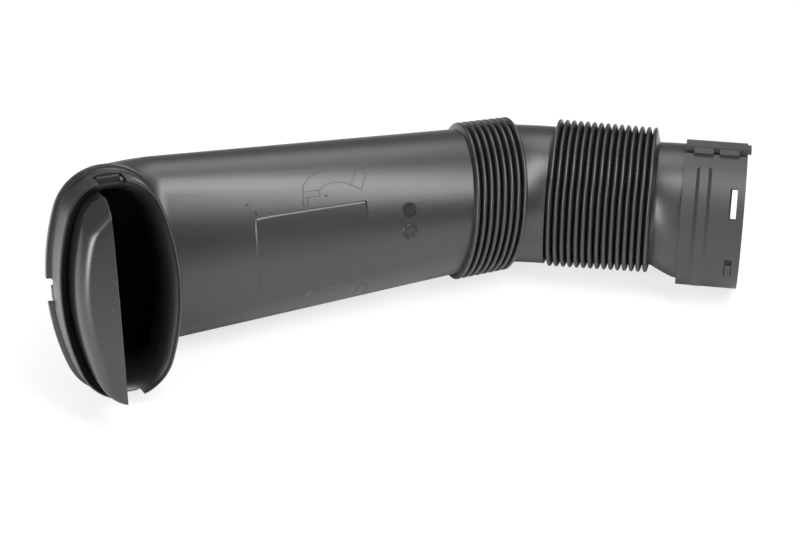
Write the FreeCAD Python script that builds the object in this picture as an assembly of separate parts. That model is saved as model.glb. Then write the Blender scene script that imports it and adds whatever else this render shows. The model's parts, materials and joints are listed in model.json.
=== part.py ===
import FreeCAD, Part
import math
import os

# Car air intake hose: a blow-moulded duct with two bellows, an oval inlet frame with a rain visor,
# and a latched coupling collar. All lengths are millimetres and all angles are degrees.
#
# It is drawn in a working frame: the body runs along +X, the mouth looks along -Y, and the long way
# of the oval is Z. At the end the finished pieces are turned to lie as they come to rest on a floor.

# Duct wall, the room left between pieces, and how far a cutting tool runs past what it opens
DUCT_WALL = 2.0
FIT_GAP = 0.25
OVERCUT = 2.0

# Oval neck at the mouth, outside of the duct
NECK_HALF_WIDTH = 29.3
NECK_HALF_HEIGHT = 58.6
NECK_END_ROUND = 23.2
MOUTH_REACH = 62.2
FRAME_DEPTH = 23.6
NECK_SOCKET = 15.0

# Elbow and tapered body
ELBOW_RADIUS = 38.0
ELBOW_STEPS = 4
BODY_HALF_WIDTH = 34.0
BODY_HALF_HEIGHT = 54.2
BODY_END_ROUND = 28.0
BODY_END_RADIUS = 44.2
BODY_END = 225.0
BODY_STEP = 0.3
OVAL_SPLIT = 25.0

# First bellows: its rings lean, so their axis turns away from the line on which they stand
FRONT_FOLDS = 8
FRONT_PITCH = 4.46
FRONT_CREST_RADIUS = 48.0
FRONT_CREST_END = 47.1
RING_SIDE_LEAN = 9.4
RING_DROOP = 6.5

# Second bellows, which stands a little higher than the end of the bend before it
REAR_FOLDS = 15
REAR_PITCH = 4.18
REAR_CREST_RADIUS = 45.5
REAR_CREST_END = 44.5
REAR_RISE = 1.7

# Sharp folds, each one crest between two roots
FOLD_DEPTH = 5.0
FOLD_SKIN = 1.6
ROOT_SKIN = 2.2

# Plain bend between the bellows
LINK_TUBE_RADIUS = 42.4
LINK_RADIUS = 70.0
LINK_SIDE_TURN = 33.0
LINK_DROOP = 3.7

# Cuff behind the second bellows, set lower than the bellows
CUFF_LENGTH = 16.9
CUFF_DROP = 5.8
CUFF_SLOPE = 28.0

# Coupling collar: the duct goes in up to a shoulder, and the narrower socket takes the next tube
COLLAR_RADIUS = 44.4
COLLAR_WALL = 2.2
COLLAR_LENGTH = 36.7
DUCT_IN_COLLAR = 18.0
SOCKET_STEP = 0.8
RIB_CENTRE = 12.0
RIB_WIDTH = 4.4
RIB_HEIGHT = 1.0
BEAD_WIDTH = 9.0
BEAD_TOP_WIDTH = 5.0
BEAD_HEIGHT = 1.8
BEAD_HIGH_ANGLE = 51.0
BEAD_LOW_ANGLE = -58.0
SLOT_WIDTH = 4.3
SLOT_LENGTH = 19.0
SLOT_FROM_END = 6.6
SLOT_ANGLE = 23.0
FAR_SLOT_ANGLE = 185.0
FAR_SLOT_FROM_END = 4.0
WINDOW_LENGTH = 13.5
WINDOW_ANGLE = -31.0
TONGUE_WIDTH = 3.3
TONGUE_LENGTH = 9.0
TONGUE_SUNK = 0.2
TONGUE_THICKNESS = 1.5
LATCH_ANGLE = 69.0
LATCH_OVERHANG = 2.0
LEDGE_REACH = 13.6
LEDGE_THICKNESS = 2.9
SLIT_WIDTH = 3.0
HOOK_LENGTH = 11.5
HOOK_THICKNESS = 1.6
HOOK_FROM_END = 5.0

# Inlet frame
THROAT_WALL = 2.0
SHROUD_GAP = 2.6
SHROUD_WALL = 2.0
RIM_WIDTH = 2.2
RIM_THICKNESS = 4.0
LIP_ROUND = 2.4
BELL_ROUND = 6.0
NOTCH_WIDTH = 15.6
NOTCH_DEPTH = 12.0
SIDE_SLOT_HEIGHT = 14.0
SIDE_SLOT_DEPTH = 8.0
LUG_GAP = 1.5
LUG_HEIGHT = 3.4
KEY_LENGTH = 4.0
KEY_HEIGHT = 4.4
KEY_WIDTH = 8.0

# Rain visor, with one slanting facet cut off its upper corner
VISOR_REACH = 21.3
VISOR_WALL = 2.0
VISOR_SHOULDER = 4.0
VISOR_EDGE = -6.8
VISOR_INSET = 1.0
FACET_BACK = 14.5
FACET_DROP = 10.0
FACET_LEAN = 41.0

# How the hose lies on a floor
REST_ROLL = -12.95
REST_PITCH = 1.81

X_AXIS = FreeCAD.Vector(1, 0, 0)
Y_AXIS = FreeCAD.Vector(0, 1, 0)
Z_AXIS = FreeCAD.Vector(0, 0, 1)
ORIGIN = FreeCAD.Vector(0, 0, 0)


def oval(half_width, half_height, end_round):
    """Four-centre oval in the XY plane: two end arcs and two flatter side arcs, all tangent."""
    reach = half_height - end_round
    side_round = (half_width**2 + reach**2 - end_round**2) / (2 * (half_width - end_round))
    meet_across = end_round * (side_round - half_width) / (side_round - end_round)
    meet_along = reach + end_round * reach / (side_round - end_round)
    corners = [(meet_across, meet_along), (-meet_across, meet_along)]
    corners += [(-meet_across, -meet_along), (meet_across, -meet_along)]
    middles = [(0, half_height), (-half_width, 0), (0, -half_height), (half_width, 0)]
    arcs = []
    for step in range(4):
        ends = (corners[step], middles[step], corners[(step + 1) % 4])
        arcs.append(Part.Arc(*[FreeCAD.Vector(across, along, 0) for across, along in ends]).toShape())
    return Part.Wire(arcs)


def circle_in_four(radius):
    """Circle in the XY plane in four arcs that line up with those of the ovals."""
    edges = []
    splits = [OVAL_SPLIT, 180 - OVAL_SPLIT, 180 + OVAL_SPLIT, 360 - OVAL_SPLIT, 360 + OVAL_SPLIT]
    for low, high in zip(splits, splits[1:]):
        edges.append(Part.makeCircle(radius, ORIGIN, Z_AXIS, low, high))
    return Part.Wire(edges)


def oval_block(grow, low, high):
    """Prism of the neck's oval, grown all round, between two heights on the mouth axis."""
    face = Part.Face(oval(NECK_HALF_WIDTH + grow, NECK_HALF_HEIGHT + grow, NECK_END_ROUND + grow))
    face.translate(FreeCAD.Vector(0, 0, low))
    return face.extrude(FreeCAD.Vector(0, 0, high - low))


def edges_at(shape, height):
    """Edges of a shape that lie wholly at one height on the mouth axis."""
    found = []
    for edge in shape.Edges:
        box = edge.BoundBox
        if abs(box.ZMin - height) < 0.01 and abs(box.ZMax - height) < 0.01:
            found.append(edge)
    return found


def lathe(profile):
    """Solid of revolution about X of a profile given as (distance along X, radius)."""
    points = [FreeCAD.Vector(along, -radius, 0) for along, radius in profile]
    points = [FreeCAD.Vector(profile[0][0], 0, 0)] + points + [FreeCAD.Vector(profile[-1][0], 0, 0)]
    face = Part.Face(Part.makePolygon(points + [points[0]]))
    return face.revolve(ORIGIN, X_AXIS, 360)


def heading(side_turn, droop):
    """Unit vector that leaves +X by a turn towards the mouth's side and a droop."""
    side = math.radians(side_turn)
    down = math.radians(droop)
    return FreeCAD.Vector(math.cos(side) * math.cos(down), -math.sin(side) * math.cos(down), -math.sin(down))


def box_at(low, high):
    """Box between two corners."""
    return Part.makeBox(high[0] - low[0], high[1] - low[1], high[2] - low[2], FreeCAD.Vector(*low))


# The mouth's own frame: local X stays X, local Y becomes Z, local Z points out of the mouth
MOUTH_TURN = FreeCAD.Placement(ORIGIN, FreeCAD.Rotation(X_AXIS, 90))
LIP_HEIGHT = MOUTH_REACH
FRAME_BACK = MOUTH_REACH - FRAME_DEPTH
NECK_END = FRAME_BACK + NECK_SOCKET

# The rings of the first bellows, then the bend that turns their axis to the tail's
RING_WAY = heading(RING_SIDE_LEAN, RING_DROOP)
RING_TURN = FreeCAD.Rotation(X_AXIS, RING_WAY)
TAIL_WAY = heading(LINK_SIDE_TURN, LINK_DROOP)
BEND_AXIS = RING_WAY.cross(TAIL_WAY).normalize()
BEND_ANGLE = math.degrees(RING_WAY.getAngle(TAIL_WAY))
LINK_START = FreeCAD.Vector(BODY_END + FRONT_FOLDS * FRONT_PITCH, 0, 0)
BEND_CENTRE = LINK_START + BEND_AXIS.cross(RING_WAY) * LINK_RADIUS
BEND_TURN = FreeCAD.Rotation(BEND_AXIS, BEND_ANGLE)
TAIL_TURN = BEND_TURN.multiply(RING_TURN)
LINK_END = BEND_CENTRE + BEND_TURN.multVec(LINK_START - BEND_CENTRE)
TAIL_PLACE = FreeCAD.Placement(LINK_END + TAIL_TURN.multVec(Z_AXIS * REAR_RISE), TAIL_TURN)

# Distances along the tail, and the radii that the collar and the duct's end share
REAR_LENGTH = REAR_FOLDS * REAR_PITCH
COLLAR_START = REAR_LENGTH + CUFF_LENGTH
COLLAR_END = COLLAR_START + COLLAR_LENGTH
COLLAR_BORE = COLLAR_RADIUS - COLLAR_WALL
SPIGOT_RADIUS = COLLAR_BORE - FIT_GAP


def elbow_section(share, inset):
    """Oval part way round the elbow, eased from the neck's size to the body's."""
    turn = FreeCAD.Rotation(Z_AXIS, -90 * share)
    centre = FreeCAD.Vector(ELBOW_RADIUS, -ELBOW_RADIUS, 0)
    ease = share * share * (3 - 2 * share)
    wire = oval(
        NECK_HALF_WIDTH + ease * (BODY_HALF_WIDTH - NECK_HALF_WIDTH) - inset,
        NECK_HALF_HEIGHT + ease * (BODY_HALF_HEIGHT - NECK_HALF_HEIGHT) - inset,
        NECK_END_ROUND + ease * (BODY_END_ROUND - NECK_END_ROUND) - inset,
    )
    spot = centre + turn.multVec(FreeCAD.Vector(-ELBOW_RADIUS, 0, 0))
    wire.Placement = FreeCAD.Placement(spot, turn.multiply(MOUTH_TURN.Rotation))
    return wire


def duct_front(inset):
    """Solid inside one skin of the duct: neck prism, lofted elbow and straight taper to a circle."""
    neck = oval_block(-inset, ELBOW_RADIUS, NECK_END + (OVERCUT if inset else 0.0))
    neck.Placement = MOUTH_TURN
    sections = [elbow_section(step / ELBOW_STEPS, inset) for step in range(ELBOW_STEPS + 1)]
    elbow = Part.makeLoft(sections, True)
    mouth_of_bellows = circle_in_four(BODY_END_RADIUS - inset)
    across = RING_TURN.multiply(FreeCAD.Rotation(Z_AXIS, -90)).multiply(MOUTH_TURN.Rotation)
    mouth_of_bellows.Placement = FreeCAD.Placement(FreeCAD.Vector(BODY_END, 0, 0), across)
    taper = Part.makeLoft([sections[-1], mouth_of_bellows], True, True)
    return neck.fuse([elbow, taper])


def folds(count, pitch, first_crest, last_crest, inset):
    """Zigzag of a bellows, as (distance along it, radius), outside or inside."""
    profile = []
    for step in range(2 * count + 1):
        crest = first_crest + (last_crest - first_crest) * step / (2 * count)
        if step % 2:
            radius = crest - (FOLD_SKIN if inset else 0.0)
        else:
            radius = crest - FOLD_DEPTH - (ROOT_SKIN if inset else 0.0)
        profile.append((step * pitch / 2, radius))
    return profile


def duct_rear(inset):
    """Solid inside of one skin of the duct behind the body: bellows, bend, bellows, cuff and end."""
    wall = DUCT_WALL if inset else 0.0
    link_radius = LINK_TUBE_RADIUS - wall
    front = folds(FRONT_FOLDS, FRONT_PITCH, FRONT_CREST_RADIUS, FRONT_CREST_END, inset)
    front[0] = (front[0][0], BODY_END_RADIUS + BODY_STEP - wall)
    front[-1] = (front[-1][0], link_radius)
    rings = []
    for along, radius in front:
        rings.append(Part.Wire(Part.makeCircle(radius, FreeCAD.Vector(BODY_END + along, 0, 0), RING_WAY)))
    front_bellows = Part.makeLoft(rings, True, True)

    # The second bellows stands off centre between its neighbours, so its hollow keeps a wall at each end
    disc = Part.Face(Part.Wire(Part.makeCircle(link_radius, LINK_START, RING_WAY)))
    link = disc.revolve(BEND_CENTRE, BEND_AXIS, BEND_ANGLE - math.degrees(wall / LINK_RADIUS))
    rear = folds(REAR_FOLDS, REAR_PITCH, REAR_CREST_RADIUS, REAR_CREST_END, inset)
    cuff_start, cuff_radius = rear[-1]
    slope = math.tan(math.radians(CUFF_SLOPE))
    if inset:
        cuff_radius -= slope * REAR_PITCH / 2
        cuff_start -= REAR_PITCH / 2
        rear = [(-2 * wall, rear[0][1])] + rear[:-1]
    stop = COLLAR_START + DUCT_IN_COLLAR + (OVERCUT if inset else 0.0)
    cone = lathe([(cuff_start, cuff_radius), (stop, cuff_radius + slope * (stop - cuff_start))])
    lower = FreeCAD.Vector(0, 0, -CUFF_DROP)
    tube_start = REAR_LENGTH - REAR_PITCH
    tube = Part.makeCylinder(SPIGOT_RADIUS - wall, stop - tube_start, lower + X_AXIS * tube_start, X_AXIS)
    tail = [lathe(rear), cone.common(tube)]
    if not inset:
        rib_start = lower + X_AXIS * (COLLAR_START + RIB_CENTRE - RIB_WIDTH / 2)
        tail.append(Part.makeCylinder(SPIGOT_RADIUS + RIB_HEIGHT, RIB_WIDTH, rib_start, X_AXIS))
    for piece in tail:
        piece.Placement = TAIL_PLACE.multiply(piece.Placement)
    return front_bellows.fuse([link] + tail)


def neck_lugs():
    """Snap lugs of the neck, behind the edge of each notch, and a key low in each side slot."""
    lugs = []
    sunk = DUCT_WALL / 2
    half = NOTCH_WIDTH / 2 - LUG_GAP
    base = LIP_HEIGHT - NOTCH_DEPTH + FIT_GAP
    inner = NECK_HALF_HEIGHT - sunk
    outer = NECK_HALF_HEIGHT + LUG_HEIGHT
    for low, high in ((inner, outer), (-outer, -inner)):
        lugs.append(box_at((-half, low, base), (half, high, NECK_END)))
    foot = LUG_GAP - SIDE_SLOT_HEIGHT / 2
    base = FRAME_BACK + LUG_GAP
    inner = NECK_HALF_WIDTH - sunk
    outer = NECK_HALF_WIDTH + KEY_HEIGHT
    for low, high in ((inner, outer), (-outer, -inner)):
        lugs.append(box_at((low, foot, base), (high, foot + KEY_WIDTH, base + KEY_LENGTH)))
    for lug in lugs:
        lug.Placement = MOUTH_TURN
    return lugs


def make_air_duct():
    """The blow-moulded duct as one hollow solid, open at both ends."""
    outside = duct_front(0.0).fuse(duct_rear(False))
    inside = duct_front(DUCT_WALL).fuse(duct_rear(True))
    return outside.fuse(neck_lugs()).cut(inside)


def make_inlet_frame():
    """Oval bell-mouth with a shroud over the duct's neck, a back rim with slots, and the visor."""
    throat_outside = -DUCT_WALL - FIT_GAP
    throat = throat_outside - THROAT_WALL
    shroud_outside = SHROUD_GAP + SHROUD_WALL
    rim_outside = shroud_outside + RIM_WIDTH

    block = oval_block(shroud_outside, FRAME_BACK, LIP_HEIGHT)
    block = block.makeFillet(LIP_ROUND, edges_at(block, LIP_HEIGHT))
    bore = oval_block(throat, FRAME_BACK - OVERCUT, LIP_HEIGHT)
    block = block.cut(bore)
    inner_edges = [edge for edge in edges_at(block, LIP_HEIGHT) if edge.BoundBox.YMax < NECK_HALF_HEIGHT]
    inner_edges = [edge for edge in inner_edges if edge.BoundBox.XMax < NECK_HALF_WIDTH]
    block = block.makeFillet(BELL_ROUND, inner_edges)
    channel = oval_block(SHROUD_GAP, FRAME_BACK - OVERCUT, NECK_END + FIT_GAP)
    channel = channel.cut(oval_block(throat_outside, FRAME_BACK - OVERCUT, NECK_END + OVERCUT))
    block = block.cut(channel)
    rim = oval_block(rim_outside, FRAME_BACK, FRAME_BACK + RIM_THICKNESS)
    rim = rim.cut(oval_block(SHROUD_GAP, FRAME_BACK - OVERCUT, LIP_HEIGHT))
    block = block.fuse(rim)

    far = NECK_HALF_HEIGHT + rim_outside + OVERCUT
    floor = NECK_HALF_HEIGHT + FIT_GAP
    half = NOTCH_WIDTH / 2
    for low, high in ((floor, far), (-far, -floor)):
        block = block.cut(box_at((-half, low, LIP_HEIGHT - NOTCH_DEPTH), (half, high, LIP_HEIGHT + OVERCUT)))
    floor = NECK_HALF_WIDTH + FIT_GAP
    half = SIDE_SLOT_HEIGHT / 2
    slot_end = FRAME_BACK + SIDE_SLOT_DEPTH
    for low, high in ((floor, far), (-far, -floor)):
        block = block.cut(box_at((low, -half, FRAME_BACK - OVERCUT), (high, half, slot_end)))

    visor_front = LIP_HEIGHT + VISOR_REACH
    hood = oval_block(-VISOR_INSET, NECK_END + OVERCUT, visor_front)
    hood = hood.makeFillet(VISOR_SHOULDER, edges_at(hood, visor_front))
    hollow_front = visor_front - VISOR_WALL
    hollow = oval_block(-VISOR_INSET - VISOR_WALL, FRAME_BACK, hollow_front)
    hollow = hollow.makeFillet(VISOR_SHOULDER - VISOR_WALL, edges_at(hollow, hollow_front))
    lean = math.radians(FACET_LEAN)
    facet_way = FreeCAD.Vector(
        -FACET_BACK * math.sin(lean), FACET_BACK * math.cos(lean), FACET_DROP * math.cos(lean)
    ).normalize()
    visor_top = NECK_HALF_HEIGHT - VISOR_INSET
    facet_spot = FreeCAD.Vector(VISOR_EDGE, visor_top - FACET_DROP, visor_front)
    hood = hood.cut(Part.makeCylinder(far, far, facet_spot, facet_way))
    hollow = hollow.cut(Part.makeCylinder(far, far, facet_spot - facet_way * VISOR_WALL, facet_way))
    hood = hood.cut(hollow)
    hood = hood.common(box_at((-far, -far, FRAME_BACK), (VISOR_EDGE, far, visor_front + OVERCUT)))
    block = block.fuse(hood)
    block.Placement = MOUTH_TURN
    return block


def around(shape, angle):
    """Turn a feature drawn on the -Y side of the tail's axis up by an angle."""
    turned = shape.copy()
    turned.rotate(ORIGIN, X_AXIS, -angle)
    return turned


def make_coupling_collar():
    """Split ring with a latch ledge and two hooks, a bead over the duct's rib, slots and a window."""
    ring = Part.makeCylinder(COLLAR_RADIUS, COLLAR_LENGTH, X_AXIS * COLLAR_START, X_AXIS)
    rib_middle = COLLAR_START + RIB_CENTRE
    sunk = COLLAR_RADIUS - COLLAR_WALL / 2
    outline = [
        (-BEAD_WIDTH / 2, sunk),
        (-BEAD_WIDTH / 2, COLLAR_RADIUS),
        (-BEAD_TOP_WIDTH / 2, COLLAR_RADIUS + BEAD_HEIGHT),
        (BEAD_TOP_WIDTH / 2, COLLAR_RADIUS + BEAD_HEIGHT),
        (BEAD_WIDTH / 2, COLLAR_RADIUS),
        (BEAD_WIDTH / 2, sunk),
    ]
    corners = [FreeCAD.Vector(rib_middle + along, -radius, 0) for along, radius in outline]
    bead = Part.Face(Part.makePolygon(corners + corners[:1]))
    bead = around(bead, BEAD_LOW_ANGLE).revolve(ORIGIN, X_AXIS, BEAD_LOW_ANGLE - BEAD_HIGH_ANGLE)
    ring = ring.fuse(bead)

    ledge = box_at(
        (COLLAR_START, -LEDGE_REACH, COLLAR_RADIUS - LEDGE_THICKNESS),
        (COLLAR_END + LATCH_OVERHANG, 0, COLLAR_RADIUS),
    )
    ring = ring.fuse(ledge)
    shoulder = COLLAR_START + DUCT_IN_COLLAR + FIT_GAP
    duct_room = shoulder - COLLAR_START + OVERCUT
    socket_room = COLLAR_END - shoulder + LATCH_OVERHANG + OVERCUT
    ring = ring.cut(Part.makeCylinder(COLLAR_BORE, duct_room, X_AXIS * (COLLAR_START - OVERCUT), X_AXIS))
    ring = ring.cut(Part.makeCylinder(COLLAR_BORE - SOCKET_STEP, socket_room, X_AXIS * shoulder, X_AXIS))
    groove_width = RIB_WIDTH + 2 * FIT_GAP
    groove_start = X_AXIS * (rib_middle - groove_width / 2)
    groove_radius = SPIGOT_RADIUS + RIB_HEIGHT + FIT_GAP
    ring = ring.cut(Part.makeCylinder(groove_radius, groove_width, groove_start, X_AXIS))

    clear = COLLAR_RADIUS + BEAD_HEIGHT + OVERCUT
    slit = box_at(
        (COLLAR_START - OVERCUT, -clear, -SLIT_WIDTH / 2),
        (COLLAR_END + OVERCUT, -COLLAR_BORE + COLLAR_WALL, SLIT_WIDTH / 2),
    )
    ring = ring.cut(around(slit, LATCH_ANGLE))
    hook_top = COLLAR_RADIUS + HOOK_THICKNESS
    for start in (COLLAR_START + HOOK_FROM_END, COLLAR_END - HOOK_FROM_END - HOOK_LENGTH):
        hook = box_at(
            (start, -hook_top, -SLIT_WIDTH / 2 - HOOK_THICKNESS),
            (start + HOOK_LENGTH, -sunk, SLIT_WIDTH / 2 + HOOK_THICKNESS),
        )
        ring = ring.fuse(around(hook, LATCH_ANGLE))

    for angle, from_end in ((SLOT_ANGLE, SLOT_FROM_END), (FAR_SLOT_ANGLE, FAR_SLOT_FROM_END)):
        middle = COLLAR_END - from_end
        slot = box_at(
            (middle - SLOT_WIDTH / 2, -clear, -SLOT_LENGTH / 2),
            (middle + SLOT_WIDTH / 2, -COLLAR_RADIUS / 2, SLOT_LENGTH / 2),
        )
        ring = ring.cut(around(slot, angle))
    slot_middle = COLLAR_END - SLOT_FROM_END
    window = box_at(
        (slot_middle - SLOT_WIDTH / 2, -clear, -WINDOW_LENGTH / 2),
        (slot_middle + SLOT_WIDTH / 2, -COLLAR_RADIUS / 2, WINDOW_LENGTH / 2),
    )
    ring = ring.cut(around(window, WINDOW_ANGLE))
    tongue_top = COLLAR_RADIUS - TONGUE_SUNK
    tongue = box_at(
        (slot_middle - TONGUE_WIDTH / 2, -tongue_top, -WINDOW_LENGTH / 2 - COLLAR_WALL / 2),
        (slot_middle + TONGUE_WIDTH / 2, TONGUE_THICKNESS - tongue_top, TONGUE_LENGTH - WINDOW_LENGTH / 2),
    )
    ring = ring.fuse(around(tongue, WINDOW_ANGLE))
    ring.translate(FreeCAD.Vector(0, 0, -CUFF_DROP))
    ring.Placement = TAIL_PLACE.multiply(ring.Placement)
    return ring


def one_solid(shape):
    """The single solid of a boolean's result, with faces that continue each other joined."""
    return shape.removeSplitter().Solids[0]


pieces = {
    "air_duct": one_solid(make_air_duct()),
    "inlet_frame": one_solid(make_inlet_frame()),
    "coupling_collar": one_solid(make_coupling_collar()),
}

# Turn the finished hose to its rest, then put the middle of its box's floor at the origin
rest = FreeCAD.Rotation(Y_AXIS, REST_PITCH).multiply(FreeCAD.Rotation(X_AXIS, REST_ROLL))
for shape in pieces.values():
    shape.Placement = FreeCAD.Placement(ORIGIN, rest).multiply(shape.Placement)
whole = FreeCAD.BoundBox()
for shape in pieces.values():
    whole.add(shape.optimalBoundingBox(True, False))
shift = FreeCAD.Vector(-whole.Center.x, -whole.Center.y, -whole.ZMin)

os.makedirs("parts", exist_ok=True)
for name, shape in pieces.items():
    shape.translate(shift)
    shape.exportStep("parts/" + name + ".step")
    print(name, len(shape.Faces), "faces,", round(shape.Volume), "cubic mm, valid:", shape.isValid())
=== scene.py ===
import json
import math

import bmesh
import bpy
import numpy as np
from mathutils import Matrix, Vector


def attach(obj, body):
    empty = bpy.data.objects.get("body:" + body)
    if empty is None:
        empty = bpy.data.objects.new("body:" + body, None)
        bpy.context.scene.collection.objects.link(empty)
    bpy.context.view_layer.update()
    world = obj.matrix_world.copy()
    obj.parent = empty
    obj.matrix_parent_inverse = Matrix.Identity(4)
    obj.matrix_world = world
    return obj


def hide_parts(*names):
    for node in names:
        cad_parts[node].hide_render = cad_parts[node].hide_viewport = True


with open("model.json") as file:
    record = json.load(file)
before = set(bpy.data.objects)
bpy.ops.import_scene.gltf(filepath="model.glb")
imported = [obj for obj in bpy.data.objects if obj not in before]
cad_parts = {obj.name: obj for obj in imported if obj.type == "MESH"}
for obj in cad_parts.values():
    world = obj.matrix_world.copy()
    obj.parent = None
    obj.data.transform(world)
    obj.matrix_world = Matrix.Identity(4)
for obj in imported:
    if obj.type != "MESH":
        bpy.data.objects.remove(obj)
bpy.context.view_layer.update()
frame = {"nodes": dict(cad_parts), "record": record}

mm = 0.001
poleWeld = 1e-7  # metres
endDraw = 0.7  # share of the bevel by which a block's ends are drawn in
axes = np.eye(3)

# The hose is drawn in millimetres in a working frame: body along +X, mouth along -Y, and Z along the
# mouth's long way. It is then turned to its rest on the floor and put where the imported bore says.
lay = {"restRoll": -12.95, "restPitch": 1.81, "boreMount": "collar_bore"}
search = {"rounds": 30, "step": 0.5}

# Blow-moulded duct: neck, elbow, tapered body, bellows, plain bend, bellows, cuff
duct = {
    "wall": 2.0,
    "neckOval": (29.3, 58.6, 23.2),  # half width, half height, radius of the two ends
    "bodyOval": (34.0, 54.2, 28.0),
    "neckEnd": 53.6,
    "elbowRadius": 38.0,
    "bodyEnd": 225.0,
    "bodyEndRadius": 44.2,
    "ovalSplit": 25.0,
    "ringLean": (9.4, 6.5),
    "frontFolds": 8,
    "frontPitch": 4.46,
    "frontCrests": (47.93, 47.03),
    "linkTube": 42.4,
    "linkRadius": 70.0,
    "linkTurn": (33.0, 3.7),
    "rearFolds": 15,
    "rearPitch": 4.18,
    "rearCrests": (45.45, 44.45),
    "rearRise": 1.7,
    "foldDepth": 5.0,
    "foldSkin": 1.6,
    "rootSkin": 2.2,
    "crestPower": 2.8,
    "cuffLength": 16.9,
    "cuffDrop": 5.8,
    "cuffSlope": 28.0,
    "cuffBlend": 3.0,
    "spigotRadius": 41.95,
    "inCollar": 18.0,
    "ribCentre": 12.0,
    "ribWidth": 4.4,
    "ribHeight": 1.0,
    "collarLength": 36.7,
    "fitGap": 0.25,
    "around": 160,
    "neckRows": 6,
    "linkRows": 16,
    "cuffRows": 24,
    "elbowRows": (27, 12),  # outside, inside
    "bodyRows": (110, 20),
    "foldSteps": (10, 2),
    "ribRoom": 0.4,
    "sharp": 50,
}


def turnAbout(axis, degrees):
    # rotation matrix about an axis: I + sin K + (1 - cos) K K, where K is the axis's cross matrix
    x, y, z = np.asarray(axis, float) / np.linalg.norm(axis)
    cross = np.array([[0, -z, y], [z, 0, -x], [-y, x, 0]])
    angle = math.radians(degrees)
    return np.eye(3) + math.sin(angle) * cross + (1 - math.cos(angle)) * cross @ cross


def heading(sideTurn, droop):
    # unit vector that leaves +X by a turn towards the mouth's side and a droop
    side, down = math.radians(sideTurn), math.radians(droop)
    return np.array([math.cos(side) * math.cos(down), -math.sin(side) * math.cos(down), -math.sin(down)])


def angleBetween(start, end):
    # angle in degrees between unit vectors
    return math.degrees(math.acos(float(start @ end)))


def easing(share):
    # smooth step from 0 to 1
    share = np.clip(share, 0, 1)
    return share * share * (3 - 2 * share)


def softLeast(a, b, blend):
    # the smaller of two values with a rounded corner: mean less half of sqrt(difference^2 + blend^2)
    return (a + b) / 2 - np.sqrt((a - b) ** 2 + blend**2) / 2


ringWay = heading(*duct["ringLean"])
ringTurn = turnAbout(np.cross(axes[0], ringWay), angleBetween(axes[0], ringWay))
tailWay = heading(*duct["linkTurn"])
bendAxis = np.cross(ringWay, tailWay)
bendAngle = angleBetween(ringWay, tailWay)
linkStart = np.array([duct["bodyEnd"] + duct["frontFolds"] * duct["frontPitch"], 0, 0])
bendArm = -np.cross(bendAxis / np.linalg.norm(bendAxis), ringWay) * duct["linkRadius"]
bendCentre = linkStart - bendArm
bendTurn = turnAbout(bendAxis, bendAngle)
tailTurn = bendTurn @ ringTurn
tailStart = bendCentre + bendTurn @ bendArm + tailTurn @ axes[2] * duct["rearRise"]
rearLength = duct["rearFolds"] * duct["rearPitch"]
collarStart = rearLength + duct["cuffLength"]

# The middle of the collar's bore in the working frame meets the mount in the record
rest = turnAbout(axes[1], lay["restPitch"]) @ turnAbout(axes[0], lay["restRoll"])
boreMount = next(m for m in frame["record"]["mounts"] if m["name"] == lay["boreMount"])
boreMiddle = collarStart + (duct["inCollar"] + duct["fitGap"] + duct["collarLength"]) / 2
boreSpot = tailStart + tailTurn @ np.array([boreMiddle, 0, -duct["cuffDrop"]])
shift = np.array(boreMount["pos_m"]) / mm - rest @ boreSpot


def toRow(points):
    # working frame in millimetres to the row frame in metres
    return (points @ rest.T + shift) * mm


def fromMouth(points):
    # mouth frame (across, along the oval, height out of the mouth) to the working frame
    return np.stack([points[..., 0], -points[..., 2], points[..., 1]], -1)


def fromTail(points):
    # tail frame (X along the second bellows) to the working frame
    return points @ tailTurn.T + tailStart


print("hose laid at", np.round(shift, 2))


def ringAngles(count):
    # evenly spaced angles round one section, from the inside of the elbow
    return np.arange(count) / count * 2 * math.pi


def ovalAt(oval, t):
    # four tangent arcs, two ends and two flatter sides, with their outward normals; the arcs' shares
    # of the turn are those of a circle split a set angle above and below its sides
    halfWidth, halfHeight, endRound = oval
    reach = halfHeight - endRound
    sideRound = (halfWidth**2 + reach**2 - endRound**2) / (2 * (halfWidth - endRound))
    meet = math.acos((sideRound - halfWidth) / (sideRound - endRound))
    split = math.radians(duct["ovalSplit"])
    lift = np.arcsin(np.clip(np.abs(np.sin(t)), 0, 1))
    onEnd = lift >= split
    endLean = meet + (lift - split) / (math.pi / 2 - split) * (math.pi / 2 - meet)
    lean = np.where(onEnd, endLean, lift / split * meet)
    right = np.where(np.cos(t) >= 0, 1.0, -1.0)
    upper = np.where(np.sin(t) >= 0, 1.0, -1.0)
    bow = np.where(onEnd, endRound, sideRound)
    across = bow * np.cos(lean) - np.where(onEnd, 0, sideRound - halfWidth)
    along = bow * np.sin(lean) + np.where(onEnd, reach, 0)
    normal = np.stack([right * np.cos(lean), upper * np.sin(lean)], -1)
    return np.stack([right * across, upper * along], -1), normal


def circleAt(t):
    # unit circle as (across, along)
    return np.stack([np.cos(t), np.sin(t)], -1)


def placed(rings, centres, across, along):
    # sections in their planes: centre + across * a + along * b
    return centres[:, None] + rings[..., :1] * across[:, None] + rings[..., 1:] * along[:, None]


def held(vector, count):
    # one vector repeated for each section
    return np.repeat(np.asarray(vector, float)[None], count, 0)


def bodyEnds(t, inset):
    # first and last ring of the tapered body, at angles t: the elbow's oval and the leaning circle
    oval, _ = ovalAt([size - inset for size in duct["bodyOval"]], t)
    first = np.stack([np.full(t.shape, duct["elbowRadius"]), -oval[..., 0], oval[..., 1]], -1)
    circle = (duct["bodyEndRadius"] - inset) * circleAt(t)
    last = circle[..., :1] * (ringTurn @ -axes[1]) + circle[..., 1:] * (ringTurn @ axes[2])
    return first, last + duct["bodyEnd"] * axes[0]


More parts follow.
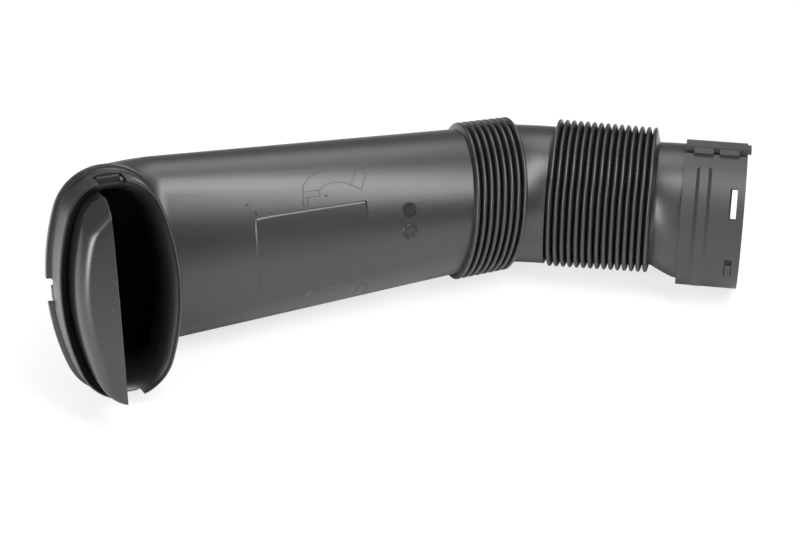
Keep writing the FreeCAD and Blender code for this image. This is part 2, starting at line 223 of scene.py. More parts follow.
def bodyPoint(x, degrees):
    # point of the body's skin at a distance along X and an angle from the mouth's side upwards: the
    # rule between the two end rings is searched by stepping angle and share towards the target
    goal = np.radians(degrees)
    t, share = goal.copy(), (x - duct["elbowRadius"]) / (duct["bodyEnd"] - duct["elbowRadius"])
    for _ in range(search["rounds"]):
        first, last = bodyEnds(t, 0.0)
        spot = first * (1 - share[..., None]) + last * share[..., None]
        t = t + goal - np.arctan2(spot[..., 2], -spot[..., 1])
        share = share + (x - spot[..., 0]) / (duct["bodyEnd"] - duct["elbowRadius"])
    return spot


def bodyFrame(x, degrees):
    # point and outward unit normal of the body's skin, the normal from small steps both ways
    x, degrees = np.asarray(x, float), np.asarray(degrees, float)
    step = search["step"]
    alongStep = bodyPoint(x + step, degrees) - bodyPoint(x - step, degrees)
    turnStep = bodyPoint(x, degrees + step) - bodyPoint(x, degrees - step)
    normal = np.cross(turnStep, alongStep)
    normal /= np.linalg.norm(normal, axis=-1, keepdims=True)
    spot = bodyPoint(x, degrees)
    outward = np.sign(np.sum(normal * spot * np.array([0, 1, 1]), -1, keepdims=True))
    return spot, normal * outward


def foldWave(count, pitch, crests, inset, steps):
    # radius along a bellows: crest less depth * |distance from the crest in half folds| ^ power, so that
    # crests are broad and round and roots are narrow
    s = np.arange(count * steps + 1) / steps
    crest = crests[0] + (crests[1] - crests[0]) * s / count - (duct["foldSkin"] if inset else 0)
    depth = duct["foldDepth"] + (duct["rootSkin"] - duct["foldSkin"] if inset else 0)
    fromCrest = np.abs(2 * (s % 1) - 1)
    return s * pitch, crest - depth * fromCrest ** duct["crestPower"]


def ductSkin(inset):
    # rings of one skin of the duct from the mouth to the collar, outside or, with an inset, inside
    skin = 1 if inset else 0
    t = ringAngles(duct["around"])
    x, y, z = axes
    neck, _ = ovalAt([size - inset for size in duct["neckOval"]], t)
    body, _ = ovalAt([size - inset for size in duct["bodyOval"]], t)
    rings = []

    # straight neck
    rows = duct["neckRows"]
    depth = np.linspace(duct["neckEnd"], duct["elbowRadius"], rows + 1)[:-1]
    rings.append(placed(held(neck, rows), -depth[:, None] * y, held(x, rows), held(z, rows)))

    # elbow: the oval turns about Z while it eases from the neck's size to the body's
    share = np.linspace(0, 1, duct["elbowRows"][skin])
    angle = share * math.pi / 2
    way = np.stack([np.cos(angle), -np.sin(angle), 0 * angle], 1)
    centre = duct["elbowRadius"] * (x - y - way)
    eased = neck + easing(share)[:, None, None] * (body - neck)
    rings.append(placed(eased, centre, way, held(z, len(share)))[:-1])

    # body: straight lines from the last oval to the leaning circle
    share = np.linspace(0, 1, duct["bodyRows"][skin])[:, None, None]
    first, last = bodyEnds(t, inset)
    rings.append((first * (1 - share) + last * share)[:-1])

    # first bellows: leaning circles whose centres stay on the body's line
    steps = duct["foldSteps"][skin]
    s, radii = foldWave(duct["frontFolds"], duct["frontPitch"], duct["frontCrests"], inset, steps)
    radii[: steps // 2] = np.maximum(radii[: steps // 2], duct["bodyEndRadius"] - inset)
    radii[-steps // 2 :] = np.maximum(radii[-steps // 2 :], duct["linkTube"] - inset)
    across, upward = ringTurn @ -y, ringTurn @ z
    centre = (duct["bodyEnd"] + s)[:, None] * x
    count = len(s)
    folds = placed(radii[:, None, None] * circleAt(t), centre, held(across, count), held(upward, count))
    rings.append(folds[:-1])

    # plain bend: one circle turned about the bend's axis
    rows = duct["linkRows"]
    turns = np.array([turnAbout(bendAxis, bendAngle * k / rows) for k in range(rows + 1)])
    circle = held((duct["linkTube"] - inset) * circleAt(t), rows + 1)
    rings.append(placed(circle, bendCentre + turns @ bendArm, turns @ across, turns @ upward)[:-1])

    # second bellows, then the cuff: a cone that a lowered round cuts off, and the end with its rib
    s, radii = foldWave(duct["rearFolds"], duct["rearPitch"], duct["rearCrests"], inset, steps)
    rib = collarStart + duct["ribCentre"]
    half = duct["ribWidth"] / 2
    cuff = np.linspace(rearLength, rib - half - duct["ribRoom"], duct["cuffRows"])[1:]
    lift = np.zeros(len(cuff) + 1)
    ends = np.append(cuff, collarStart + duct["inCollar"])
    if not inset:
        ends = np.concatenate([cuff, rib + half * np.array([-1, -1, 1, 1]), ends[-1:]])
        lift = np.concatenate([np.zeros(len(cuff)), duct["ribHeight"] * np.array([0, 1, 1, 0]), [0]])
    spigot = duct["spigotRadius"] - inset + lift[:, None]
    drop = duct["cuffDrop"]
    toRound = -drop * np.sin(t) + np.sqrt(spigot**2 - (drop * np.cos(t)) ** 2)
    cone = radii[-1] + math.tan(math.radians(duct["cuffSlope"])) * (ends - rearLength)[:, None]
    inCuff = (np.arange(len(ends)) < len(cuff))[:, None]
    reach = np.where(inCuff, softLeast(cone, toRound, duct["cuffBlend"]), np.minimum(cone, toRound))
    reach = np.concatenate([np.repeat(radii[:, None], len(t), 1), reach])
    along = np.concatenate([s, ends])
    count = len(along)
    tail = placed(reach[..., None] * circleAt(t), along[:, None] * x, held(-y, count), held(z, count))
    rings.append(fromTail(tail))
    return np.concatenate(rings)


def gridFaces(rows, columns, closeRows):
    # quads of a grid whose columns wrap round, and whose rows do where asked
    r, c = np.meshgrid(np.arange(rows if closeRows else rows - 1), np.arange(columns), indexing="ij")
    up, right = (r + 1) % rows, (c + 1) % columns
    corners = [r * columns + c, r * columns + right, up * columns + right, up * columns + c]
    return np.stack([corner.ravel() for corner in corners], 1)


def outwardFaces(points, faces):
    # faces turned over where the closed shape's signed volume comes out negative
    a, b, c = (points[faces[:, k]] for k in range(3))
    volume = np.sum(a * np.cross(b, c))
    if faces.shape[1] == 4:
        volume += np.sum(a * np.cross(c, points[faces[:, 3]]))
    return faces if volume >= 0 else faces[:, ::-1]


def makePiece(name, points, faces, sharpAngle, keepSide=False):
    # mesh object at the origin from row-frame points, shaded smooth but for its sharp edges
    mesh = bpy.data.meshes.new(name)
    faces = faces if keepSide else outwardFaces(points, faces)
    mesh.from_pydata(points.tolist(), [], faces.tolist())
    mesh.polygons.foreach_set("use_smooth", np.ones(len(mesh.polygons), bool))
    mesh.update()
    mesh.set_sharp_from_angle(angle=math.radians(sharpAngle))
    piece = bpy.data.objects.new(name, mesh)
    bpy.context.scene.collection.objects.link(piece)
    return piece


def joinGrids(name, grids, closeRows, sharpAngle):
    # several grids (rows, columns, 3) of the working frame in one mesh, each turned to face outwards
    points, faces = [], []
    for grid in grids:
        rows, columns = grid.shape[:2]
        flat = toRow(grid.reshape(-1, 3))
        faces.append(outwardFaces(flat, gridFaces(rows, columns, closeRows)) + sum(len(p) for p in points))
        points.append(flat)
    return makePiece(name, np.concatenate(points), np.concatenate(faces), sharpAngle)


def makeDuct():
    # closed tube: outer rings forwards, inner rings backwards, both ends joined by the wrap
    rings = np.concatenate([ductSkin(0.0), ductSkin(duct["wall"])[::-1]])
    return joinGrids("ductSkin", [rings], True, duct["sharp"])


def capped(rings):
    # a tube of rings with both ends drawn in to their middles
    ends = rings[[0, -1]].mean(1, keepdims=True).repeat(rings.shape[1], 1)
    return np.concatenate([ends[:1], rings, ends[1:]])


ductPiece = makeDuct()
print("duct made:", len(ductPiece.data.polygons), "quads")

# Mouth frame: throat, flared lip, shroud over the neck, and a slotted rim at the back
mouth = {
    "around": 240,
    "throat": -4.25,
    "flareFrom": 46.0,
    "flarePower": 2.8,
    "lipInner": (2.75, 61.5),
    "lip": [(3.0, 61.95), (3.5, 62.2), (3.9, 62.1), (4.2, 61.7), (4.3, 61.0)],
    "rim": [(4.6, 43.3), (4.75, 42.8), (5.2, 42.6), (6.4, 42.6), (6.7, 42.5), (6.8, 42.2), (6.8, 39.0)],
    "back": [(6.7, 38.7), (6.4, 38.6), (2.6, 38.6), (2.6, 53.85), (-2.25, 53.85), (-2.25, 38.6)],
    "frameBack": 38.6,
    "lipHeight": 62.2,
    "notch": (15.6, 12.0),
    "sideSlot": (14.0, 8.0),
    "far": 70.0,
    "past": 2.0,
    "roomBevel": 0.01,
    "flareRows": 22,
    "sharp": 32,
}


def block(low, high, bevel):
    # box as a square with cut corners, carried along its third way and drawn in at both ends
    low, high = np.asarray(low, float), np.asarray(high, float)
    middle, half = (low + high) / 2, (high - low) / 2
    corner = np.repeat(np.array([[1, 1], [-1, 1], [-1, -1], [1, -1]]), 2, 0)
    count = len(corner)
    cut = np.tile(np.array([[0, 1], [1, 0]]), (4, 1))
    cut = np.where(np.arange(count)[:, None] // 2 % 2 == 0, cut, cut[:, ::-1])
    square = corner * (half[:2] - bevel * cut)
    inner = square - corner * bevel * endDraw
    heights = np.array([-half[2], bevel - half[2], half[2] - bevel, half[2]])
    outline = np.stack([inner, square, square, inner])
    rings = np.concatenate([outline, np.repeat(heights[:, None], count, 1)[..., None]], 2)
    return capped(rings + middle)


def weldPoles(piece):
    # merges the points that the drawn-in ends of a tube share
    shape = bmesh.new()
    shape.from_mesh(piece.data)
    bmesh.ops.remove_doubles(shape, verts=shape.verts, dist=poleWeld)
    shape.to_mesh(piece.data)
    shape.free()
    return piece


def cutAway(piece, cutters):
    # takes the cutters' solids out of a piece and leaves plain mesh behind
    for cutter in cutters:
        cut = piece.modifiers.new(cutter.name, "BOOLEAN")
        cut.operation, cut.solver, cut.object = "DIFFERENCE", "EXACT", cutter
    solved = piece.evaluated_get(bpy.context.evaluated_depsgraph_get())
    mesh = bpy.data.meshes.new_from_object(solved)
    piece.modifiers.clear()
    piece.data = mesh
    mesh.polygons.foreach_set("use_smooth", np.ones(len(mesh.polygons), bool))
    mesh.set_sharp_from_angle(angle=math.radians(mouth["sharp"]))
    for cutter in cutters:
        bpy.data.objects.remove(cutter)
    return piece


def makeMouthFrame():
    # closed profile of offset and height carried round the neck's oval, along its normals; the flare's
    # offset grows with a power of the height
    u = np.linspace(0, 1, mouth["flareRows"])
    lipOffset, lipTop = mouth["lipInner"]
    offset = mouth["throat"] + (lipOffset - mouth["throat"]) * u ** mouth["flarePower"]
    flare = np.stack([offset, mouth["flareFrom"] + (lipTop - mouth["flareFrom"]) * u], 1)
    start = np.array([[mouth["throat"], mouth["frameBack"]]])
    profile = np.concatenate([start, flare, mouth["lip"], mouth["rim"], mouth["back"]])
    ring, normal = ovalAt(duct["neckOval"], ringAngles(mouth["around"]))
    flat = ring[None] + profile[:, None, :1] * normal[None]
    grid = np.concatenate([flat, np.broadcast_to(profile[:, None, 1:], flat.shape[:2] + (1,))], 2)
    piece = joinGrids("mouthFrame", [fromMouth(grid)], True, mouth["sharp"])

    wide, tall, _ = duct["neckOval"]
    gap, far, past = duct["fitGap"], mouth["far"], mouth["past"]
    half, depth = mouth["notch"][0] / 2, mouth["notch"][1]
    slotHalf, slotDepth = mouth["sideSlot"][0] / 2, mouth["sideSlot"][1]
    floor, roof = mouth["lipHeight"] - depth, mouth["lipHeight"] + past
    under, over = mouth["frameBack"] - past, mouth["frameBack"] + slotDepth
    rooms = [((-half, tall + gap, floor), (half, far, roof))]
    rooms += [((-half, -far, floor), (half, -tall - gap, roof))]
    rooms += [((wide + gap, -slotHalf, under), (far, slotHalf, over))]
    rooms += [((-far, -slotHalf, under), (-wide - gap, slotHalf, over))]
    grids = [fromMouth(block(*room, mouth["roomBevel"])) for room in rooms]
    cutters = [weldPoles(joinGrids("room", [grid], False, mouth["sharp"])) for grid in grids]
    return cutAway(piece, cutters)


# Rain visor: a hood over the outer part of the mouth, cut straight, with a soft crease at its upper
# corner and a tip that reaches a little lower than the oval
visor = {
    "inset": 1.5,
    "base": 54.0,
    "front": 83.5,
    "freeEdge": -6.8,
    "shoulder": (1.2, 7.0),
    "shoulderTall": 1.6,
    "tipRun": 26.0,
    "tipFrom": 18.0,
    "tipReach": 2.3,
    "creaseSpot": 47.6,
    "creaseWay": (-9.51, 10.94, 7.55),
    "creaseBlend": 4.0,
    "bow": 1.2,
    "bowRun": 20.0,
    "wallLeast": 3.0,
    "wall": 1.9,
    "rows": 120,
    "columns": 46,
    "crowding": 1.6,
    "wallRows": 5,
    "edgePoints": 4001,
    "edgeRoom": 0.4,
    "sharp": 40,
}


def visorHeight(across, along):
    # height of the visor's face over the mouth: its front less a quarter-round shoulder at the oval's edge,
    # blended with a slanting face at the upper corner
    oval = [size - visor["inset"] for size in duct["neckOval"]]
    halfWidth, halfHeight, endRound = oval
    reach = halfHeight - endRound
    sideRound = (halfWidth**2 + reach**2 - endRound**2) / (2 * (halfWidth - endRound))
    meet = math.acos((sideRound - halfWidth) / (sideRound - endRound))
    fromSide = across - (sideRound - halfWidth)
    onSide = np.abs(np.arctan2(along, -fromSide)) <= meet
    sideInner = sideRound - np.hypot(fromSide, along)
    endInner = endRound - np.hypot(across, np.abs(along) - reach)
    inner = np.maximum(np.where(onSide, sideInner, endInner), 0)
    small, large = visor["shoulder"]
    shoulder = small + (large - small) * easing((along + halfHeight) / visor["tipRun"])
    drop = np.clip(1 - inner / shoulder, 0, 1)
    crown = np.clip(1 - (along / halfHeight) ** 2, 0, 1)
    bow = visor["bow"] * crown * np.clip(inner / visor["bowRun"], 0, 1)
    fall = shoulder * visor["shoulderTall"] * (1 - np.sqrt(1 - drop**2))
    face = visor["front"] + bow - visor["bow"] - fall
    a, b, c = visor["creaseWay"]
    slant = visor["front"] - (a * (across - visor["freeEdge"]) + b * (along - visor["creaseSpot"])) / c
    return np.maximum(softLeast(face, slant, visor["creaseBlend"]), visor["base"] + visor["wallLeast"])


def makeVisor():
    # grid of rows along the oval's outer side and columns from its foot, up the wall and across the face
    # to the free edge; thickened inwards
    t = np.linspace(0, 2 * math.pi, visor["edgePoints"])
    edge, _ = ovalAt([size - visor["inset"] for size in duct["neckOval"]], t)
    outer = edge[edge[:, 0] < visor["freeEdge"] - visor["edgeRoom"]]
    length = np.append(0, np.cumsum(np.linalg.norm(np.diff(outer, axis=0), axis=1)))
    even = np.linspace(0, length[-1], visor["rows"])
    across0, along0 = (np.interp(even, length, outer[:, k]) for k in range(2))
    v = np.linspace(0, 1, visor["columns"])[None]
    across = across0[:, None] + (visor["freeEdge"] - across0)[:, None] * v ** visor["crowding"]
    along = np.repeat(along0[:, None], visor["columns"], 1)
    height = visorHeight(across, along)
    lower = easing((-along - visor["tipFrom"]) / (duct["neckOval"][1] - visor["tipFrom"]))
    face = np.stack([across, along - visor["tipReach"] * lower, height], 2)
    foot = np.repeat(face[:, :1], visor["wallRows"], 1)
    rise = np.linspace(0, 1, visor["wallRows"] + 1)[None, :-1]
    foot[..., 2] = visor["base"] + (face[:, :1, 2] - visor["base"]) * rise
    grid = np.concatenate([foot, face], 1)
    rows, columns = grid.shape[:2]
    points = toRow(fromMouth(grid).reshape(-1, 3))
    r, c = np.meshgrid(np.arange(rows - 1), np.arange(columns - 1), indexing="ij")
    corners = [r * columns + c, r * columns + c + 1, (r + 1) * columns + c + 1, (r + 1) * columns + c]
    faces = np.stack([corner.ravel() for corner in corners], 1)
    outward = rest @ np.array([0, -1, 0])
    a, b, c, d = (points[faces[:, k]] for k in range(4))
    if np.sum(np.cross(c - a, d - b) @ outward) < 0:
        faces = faces[:, ::-1]
    piece = makePiece("rainVisor", points, faces, visor["sharp"], keepSide=True)
    shell = piece.modifiers.new("wall", "SOLIDIFY")
    shell.thickness, shell.offset, shell.use_rim = visor["wall"] * mm, -1, True
    return piece


# Snap lugs on the neck, and the keys in the rim's side slots
lug = {
    "height": 3.4,
    "gap": 1.5,
    "sunk": 1.0,
    "keyHeight": 4.4,
    "keyWidth": 8.0,
    "keyLength": 4.0,
    "bevel": 0.35,
    "sharp": 30,
}


def makeLugs():
    # lugs behind the edges of the two notches, and a key low in each side slot
    wide, tall, _ = duct["neckOval"]
    half = mouth["notch"][0] / 2 - lug["gap"]
    base = mouth["lipHeight"] - mouth["notch"][1] + duct["fitGap"]
    low, high = tall - lug["sunk"], tall + lug["height"]
    top = duct["neckEnd"]
    bodies = [((-half, low, base), (half, high, top)), ((-half, -high, base), (half, -low, top))]
    foot = lug["gap"] - mouth["sideSlot"][0] / 2
    base = mouth["frameBack"] + lug["gap"]
    low, high = wide - lug["sunk"], wide + lug["keyHeight"]
    side, top = foot + lug["keyWidth"], base + lug["keyLength"]
    bodies += [((low, foot, base), (high, side, top)), ((-high, foot, base), (-low, side, top))]
    grids = [fromMouth(block(*body, lug["bevel"])) for body in bodies]
    return weldPoles(joinGrids("neckLugs", grids, False, lug["sharp"]))


# Raised marks of the mould on the body, placed by distance along it and angle from the mouth's side: a
# line figure of a bent duct, two dials and three pimples
marks = {
    "lineWidth": 0.62,
    "lineHeight": 0.2,
    "lineStep": 0.8,
    "lineLeast": 8,
    "lineAround": 8,
    "perDegree": 0.8,
    "roundAround": 28,
    "sharp": 40,
    "figures": [
        [(116.8, 44), (118.1, 48.5), (122.6, 53.7), (128.7, 56.9)]
        + [(135.2, 58.2), (142.8, 57.6), (151.8, 54.2)],
        [(151.8, 54.2), (157.3, 50.1), (151.9, 38.9), (146.5, 43.3), (151.8, 54.2)],
        [(146.5, 43.3), (143.1, 45.5), (138.8, 47.1), (134.2, 47.2), (129.3, 45.7), (126.5, 43.1)],
        [(116.8, 44), (126.6, 43.5), (126.7, 39.3), (116.9, 39.9), (116.8, 44)],
        [(116.9, 39.9), (115.8, 35.3), (116.4, 32.7), (117.9, 32.4), (119.9, 39.6)],
        [(115.7, -49.6), (119.8, -44.5), (125.8, -42.6), (133.7, -43.7), (138.6, -43.4)],
        [(147.3, -58.6), (149.5, -44.8), (154.9, -48.3), (154.6, -62)],
    ],
    "dials": [(178.9, 17.1), (178.2, -0.4)],
    "dialShape": [(4.5, -0.7), (4.5, 0.15), (4.3, 0.36), (3.95, 0.36)]
    + [(3.7, 0.06), (2.7, 0.06), (2.55, 0.32), (1.2, 0.32)],
    "pimples": [(83.4, 41.5), (130.3, 38.4), (72.8, -39.6)],
    "pimpleShape": [(0.75, -0.4), (0.72, 0.0), (0.5, 0.28), (0.2, 0.36)],
}


def raisedLine(figure):
    # small oval tube half sunk in the skin along a chain of (distance, angle) points, at even steps
    figure = np.array(figure, float)
    hops = np.hypot(np.diff(figure[:, 0]), np.diff(figure[:, 1]) * marks["perDegree"])
    stops = np.append(0, np.cumsum(hops))
    even = np.linspace(0, stops[-1], max(marks["lineLeast"], int(stops[-1] / marks["lineStep"])))
    spot, normal = bodyFrame(*(np.interp(even, stops, figure[:, k]) for k in range(2)))
    way = np.gradient(spot, axis=0)
    side = np.cross(normal, way)
    side /= np.linalg.norm(side, axis=1, keepdims=True)
    t = ringAngles(marks["lineAround"])
    sideways = side[:, None] * (marks["lineWidth"] / 2 * np.cos(t))[:, None]
    upward = normal[:, None] * (marks["lineHeight"] * np.sin(t))[:, None]
    return capped(spot[:, None] + sideways + upward)


def raisedRound(place, shape):
    # profile of radius and height spun about the skin's normal
    spot, normal = (value[0] for value in bodyFrame([place[0]], [place[1]]))
    side = np.cross(normal, axes[0])
    side /= np.linalg.norm(side)
    shape = np.array(shape)
    circle = circleAt(ringAngles(marks["roundAround"]))
    flat = circle[:, :1] * side + circle[:, 1:] * np.cross(normal, side)
    return capped(spot + shape[:, None, :1] * flat + shape[:, None, 1:] * normal)


def makeMarks():
    # lines and pimples in one mesh
    grids = [raisedLine(figure) for figure in marks["figures"]]
    grids += [raisedRound(place, marks["pimpleShape"]) for place in marks["pimples"]]
    return weldPoles(joinGrids("raisedMarks", grids, False, marks["sharp"]))


def makeDials():
    # both dials in one mesh
    grids = [raisedRound(place, marks["dialShape"]) for place in marks["dials"]]
    return weldPoles(joinGrids("dialMarks", grids, False, marks["sharp"]))


# Flatter pad on the body's side, proud at its upper and lower edges
panel = {
    "along": (86.0, 154.0),
    "high": (31.3, 30.4),
    "low": (-32.8, -31.1),
    "rise": (0.16, 0.95),
    "edge": 1.1,
    "sunk": 0.12,
    "under": 0.8,
    "rows": 110,
    "columns": 80,
    "sharp": 50,
}


def makePad():
    # rows along the body, each up the outer face and back down a sunk one; the outer face's height grows
    # from its middle with the square of the angle, and falls into the skin at the edges
    low, high = panel["along"]
    u = np.linspace(0, 1, panel["rows"])[:, None]
    v = np.linspace(0, 1, panel["columns"])[None]
    top = panel["high"][0] + (panel["high"][1] - panel["high"][0]) * u
    bottom = panel["low"][0] + (panel["low"][1] - panel["low"][0]) * u
    x, degrees = (low + (high - low) * u) * np.ones_like(v), bottom + (top - bottom) * v
    perDegree = math.radians(1) * duct["bodyEndRadius"]
    fromSides = np.minimum(x - low, high - x)
    inside = np.minimum(fromSides, np.minimum(top - degrees, degrees - bottom) * perDegree)
    middle, edge = panel["rise"]
    rise = middle + (edge - middle) * (degrees / panel["high"][0]) ** 2 + panel["sunk"]
    spot, normal = bodyFrame(x, degrees)
    outer = spot + normal * (rise * easing(inside / panel["edge"]) - panel["sunk"])[..., None]
    under = spot - normal * panel["under"]
    grid = capped(np.concatenate([outer, under[:, ::-1]], 1))
    return weldPoles(joinGrids("sidePad", [grid], False, panel["sharp"]))


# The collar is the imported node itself, welded
collar = {"node": "coupling_collar", "weld": 0.002, "sharp": 25}


def makeCollar():
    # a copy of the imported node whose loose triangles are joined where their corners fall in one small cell
    source = frame["nodes"][collar["node"]].data
    points = np.empty(len(source.vertices) * 3)
    source.vertices.foreach_get("co", points)
    corners = np.empty(len(source.loops), np.int64)
    source.loops.foreach_get("vertex_index", corners)
    points = points.reshape(-1, 3)
    cells = np.round(points / (collar["weld"] * mm)).astype(np.int64)
    _, first, same = np.unique(cells, axis=0, return_index=True, return_inverse=True)
    faces = same.ravel()[corners.reshape(-1, 3)]
    whole = (faces[:, 0] != faces[:, 1]) & (faces[:, 1] != faces[:, 2]) & (faces[:, 2] != faces[:, 0])
    return makePiece("endCollar", points[first], faces[whole], collar["sharp"])


framePiece = makeMouthFrame()
visorPiece = makeVisor()
lugPiece = makeLugs()
markPiece = makeMarks()
dialPiece = makeDials()
padPiece = makePad()
collarPiece = makeCollar()
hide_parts("air_duct")
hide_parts("inlet_frame")
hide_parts("coupling_collar")
slots = {
    "duct_plastic": [ductPiece, lugPiece, markPiece, padPiece, dialPiece],
    "frame_plastic": [framePiece, visorPiece],
    "collar_plastic": [collarPiece],
}
for slot, pieces in slots.items():
    for piece in pieces:
        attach(piece, "root")
print("frame made:", len(framePiece.data.polygons), "faces; visor, lugs, marks and collar made")


class Wire:
    # a socket in a node tree; arithmetic on wires adds Math nodes
    def __init__(self, tree, socket=None):
        self.tree = tree
        self.socket = socket

    def make(self, kind, settings=None, inputs=None, output=0):
        # any node: settings first, then the values or links of its sockets
        node = self.tree.nodes.new(kind)
        for key, value in (settings or {}).items():
            setattr(node, key, value)
        for key, value in (inputs or {}).items():
            if isinstance(value, Wire):
                self.tree.links.new(value.socket, node.inputs[key])
            else:
                node.inputs[key].default_value = value
        return Wire(self.tree, node.outputs[output] if node.outputs else None)

    def math(self, operation, *others):
        # one Math node on this wire and the others
        return self.make("ShaderNodeMath", {"operation": operation}, dict(enumerate((self,) + others)))

    def feed(self, socket):
        # link to a socket
        self.tree.links.new(self.socket, socket)

    def __add__(self, other):
        return self.math("ADD", other)

    def __mul__(self, other):
        return self.math("MULTIPLY", other)

    def __sub__(self, other):
        return self.math("SUBTRACT", other)

    def __rsub__(self, other):
        return self * -1 + other

    __radd__ = __add__
    __rmul__ = __mul__


def satinPlastic(name, look):
    # satin plastic: roughness wanders with a cloud, pale dust specks show where the cloud is thick, and a
    # fine grain and stretched scratches stand up as bump; a Mix node's colours are its sockets 6 and 7
    material = bpy.data.materials.new(name)
    material.use_nodes = True
    tree = material.node_tree
    shader = next(n for n in tree.nodes if n.type == "BSDF_PRINCIPLED")
    wire = Wire(tree)
    place = wire.make("ShaderNodeTexCoord", output="Object")
    noise = {"Vector": place, "Detail": look["noiseDetail"]}
    cloud = wire.make("ShaderNodeTexNoise", None, dict(noise, Scale=look["cloudScale"]))
    grain = wire.make("ShaderNodeTexNoise", None, dict(noise, Scale=look["grainScale"]))
    cells = wire.make("ShaderNodeTexVoronoi", None, {"Vector": place, "Scale": look["speckScale"]})
    speck = cells.math("LESS_THAN", look["speckSize"]) * cloud.math("GREATER_THAN", look["speckFrom"])
    stretch = wire.make("ShaderNodeMapping", None, {"Vector": place, "Scale": look["scratchWay"]})
    streak = {"Vector": stretch, "Scale": look["scratchScale"], "Detail": look["scratchDetail"]}
    scratch = wire.make("ShaderNodeTexNoise", None, streak).math("GREATER_THAN", look["scratchFrom"])
    colours = {"Factor": speck * look["speckShow"], 6: look["colour"], 7: look["dust"]}
    wire.make("ShaderNodeMix", {"data_type": "RGBA"}, colours, output=2).feed(shader.inputs["Base Color"])
    rough = look["roughness"] + (cloud - 0.5) * look["roughWander"] + scratch * look["scratchRough"]
    rough.feed(shader.inputs["Roughness"])
    shader.inputs["Specular IOR Level"].default_value = look["gloss"]
    height = grain * look["grainHeight"] + scratch * look["scratchHeight"]
    wire.make("ShaderNodeBump", None, {"Height": height, "Distance": 1.0}).feed(shader.inputs["Normal"])
    return material


ductLook = {
    "colour": (0.009, 0.009, 0.0093, 1),
    "dust": (0.09, 0.09, 0.09, 1),
    "gloss": 0.7,
    "roughness": 0.38,
    "roughWander": 0.1,
    "noiseDetail": 3.0,
    "cloudScale": 14.0,
    "grainScale": 900.0,
    "grainHeight": 0.00003,
    "speckScale": 160.0,
    "speckSize": 0.06,
    "speckFrom": 0.56,
    "speckShow": 0.35,
    "scratchWay": (1.0, 14.0, 14.0),
    "scratchScale": 9.0,
    "scratchDetail": 2.0,
    "scratchFrom": 0.69,
    "scratchRough": 0.05,
    "scratchHeight": 0.00001,
}
frameLook = dict(
    ductLook,
    roughness=0.33,
    speckScale=230.0,
    speckSize=0.085,
    speckFrom=0.46,
    speckShow=0.75,
    scratchWay=(14.0, 14.0, 2.0),
)
collarLook = dict(ductLook, colour=(0.021, 0.0214, 0.0223, 1), gloss=0.5, roughness=0.48, speckShow=0.2)
# dials darker than the duct: painted shade standing in for the shadow inside their sunk rings
dialShadeLook = dict(ductLook, colour=(0.005, 0.005, 0.005, 1), gloss=0.6, roughness=0.3)
looks = {"duct_plastic": ductLook, "frame_plastic": frameLook, "collar_plastic": collarLook}
for slot, look in looks.items():
    plastic = satinPlastic(slot.replace("_", " "), look)
    for piece in slots[slot]:
        piece.data.materials.clear()
        piece.data.materials.append(plastic)
# the dials take the darker plastic, whose colour is painted shade of their recesses
dialPiece.data.materials.clear()
dialPiece.data.materials.append(satinPlastic("dials painted shade", dialShadeLook))
print("plastics made")

# White table: to the camera mostly plain white, while a share of it takes light and the hose's shadow
table = {
    "half": 4.0,
    "drop": 0.0002,
    "colour": 0.9,
    "glow": 0.74,
    "near": 0.35,
    "far": 0.9,
    "sharp": 30,
}


def makeTable():
    # one square face; seen by the camera, a share of its light is plain white, all of it far from the hose
    square = np.array([[-1, -1], [1, -1], [1, 1], [-1, 1]]) * table["half"]
    corners = np.column_stack([square, np.full(4, -table["drop"])])
    piece = makePiece("table", corners, np.array([[0, 1, 2, 3]]), table["sharp"], keepSide=True)
    material = bpy.data.materials.new("white table")
    material.use_nodes = True
    tree = material.node_tree
    tree.nodes.clear()
    wire = Wire(tree)
    matt = wire.make("ShaderNodeBsdfDiffuse", None, {"Color": (table["colour"],) * 3 + (1,)})
    glow = wire.make("ShaderNodeEmission", None, {"Color": (1, 1, 1, 1), "Strength": 1.0})
    seen = wire.make("ShaderNodeLightPath", output="Is Camera Ray")
    place = wire.make("ShaderNodeTexCoord", output="Object")
    away = wire.make("ShaderNodeVectorMath", {"operation": "LENGTH"}, {0: place}, output="Value")
    span = {"Value": away, "From Min": table["near"], "From Max": table["far"]}
    share = wire.make("ShaderNodeMapRange", None, span) * (1 - table["glow"]) + table["glow"]
    mixed = wire.make("ShaderNodeMixShader", None, {0: seen * share, 1: matt, 2: glow})
    wire.make("ShaderNodeOutputMaterial", None, {"Surface": mixed})
    piece.data.materials.append(material)


makeTable()

# Soft studio light: a box overhead, a smaller one low on the left, a faint one behind, and a white room
studio = {
    "overhead": {"size": (0.45, 1.15), "spot": (0.24, -0.48, 0.98), "power": 16.0},
    "left": {"size": (0.45, 0.7), "spot": (-0.95, -0.5, 0.4), "power": 12.0},
    "behind": {"size": (1.0, 0.6), "spot": (0.1, 0.55, 0.9), "power": 5.0},
    "room": 0.28,
}


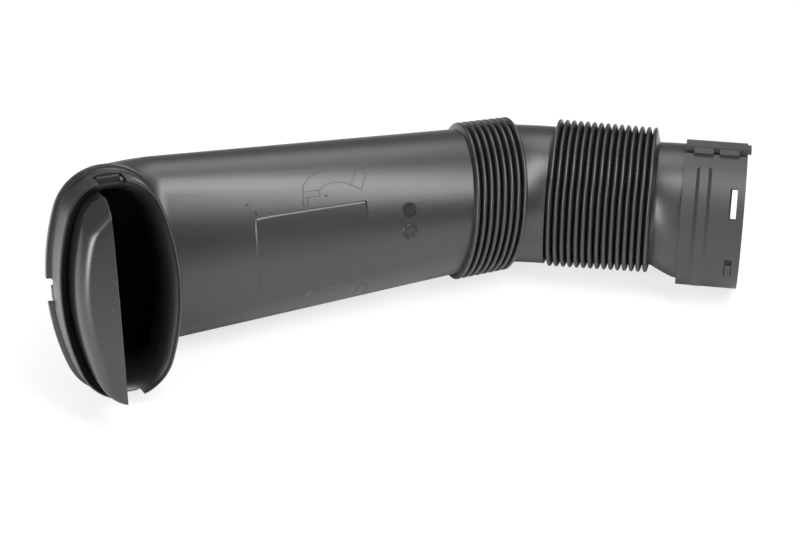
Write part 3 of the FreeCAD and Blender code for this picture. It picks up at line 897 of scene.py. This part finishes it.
def addSoftBox(name):
    # a lamp that faces the hose
    box = studio[name]
    lamp = bpy.data.lights.new(name, "AREA")
    lamp.shape = "RECTANGLE"
    lamp.size, lamp.size_y = box["size"]
    lamp.energy = box["power"]
    holder = bpy.data.objects.new(name, lamp)
    spot = Vector(box["spot"])
    holder.matrix_world = Matrix.Translation(spot) @ spot.to_track_quat("Z", "Y").to_matrix().to_4x4()
    bpy.context.scene.collection.objects.link(holder)


def addRoom():
    # white to the camera, dimmer as a light
    world = bpy.data.worlds.new("white room")
    bpy.context.scene.world = world
    world.use_nodes = True
    wire = Wire(world.node_tree)
    background = next(n for n in world.node_tree.nodes if n.type == "BACKGROUND")
    background.inputs["Color"].default_value = (1, 1, 1, 1)
    seen = wire.make("ShaderNodeLightPath", output="Is Camera Ray")
    (seen * (1 - studio["room"]) + studio["room"]).feed(background.inputs["Strength"])


# Camera at the photograph's viewing angle, given in the working frame
shot = {
    "spot": (-229.26, -1007.42, 334.14),
    "right": (0.91856, -0.39369, -0.03546),
    "up": (0.15753, 0.28231, 0.9463),
    "lens": 85.0,
    "sensor": 36.0,
    "clip": (0.05, 20.0),
}


def addCamera():
    # looks along the cross of its right and up ways, turned with the hose's rest
    lens = bpy.data.cameras.new("photoCamera")
    lens.sensor_width, lens.lens = shot["sensor"], shot["lens"]
    lens.clip_start, lens.clip_end = shot["clip"]
    camera = bpy.data.objects.new("photoCamera", lens)
    right, up = rest @ np.array(shot["right"]), rest @ np.array(shot["up"])
    right /= np.linalg.norm(right)
    back = np.cross(right, up)
    back /= np.linalg.norm(back)
    turn = Matrix(np.stack([right, np.cross(back, right), back], 1).tolist()).to_4x4()
    camera.matrix_world = Matrix.Translation(toRow(np.array(shot["spot"])).tolist()) @ turn
    bpy.context.scene.collection.objects.link(camera)
    bpy.context.scene.camera = camera


addSoftBox("overhead")
addSoftBox("left")
addSoftBox("behind")
addRoom()
addCamera()
bpy.context.scene.view_settings.view_transform = "Standard"
print("light and camera set")
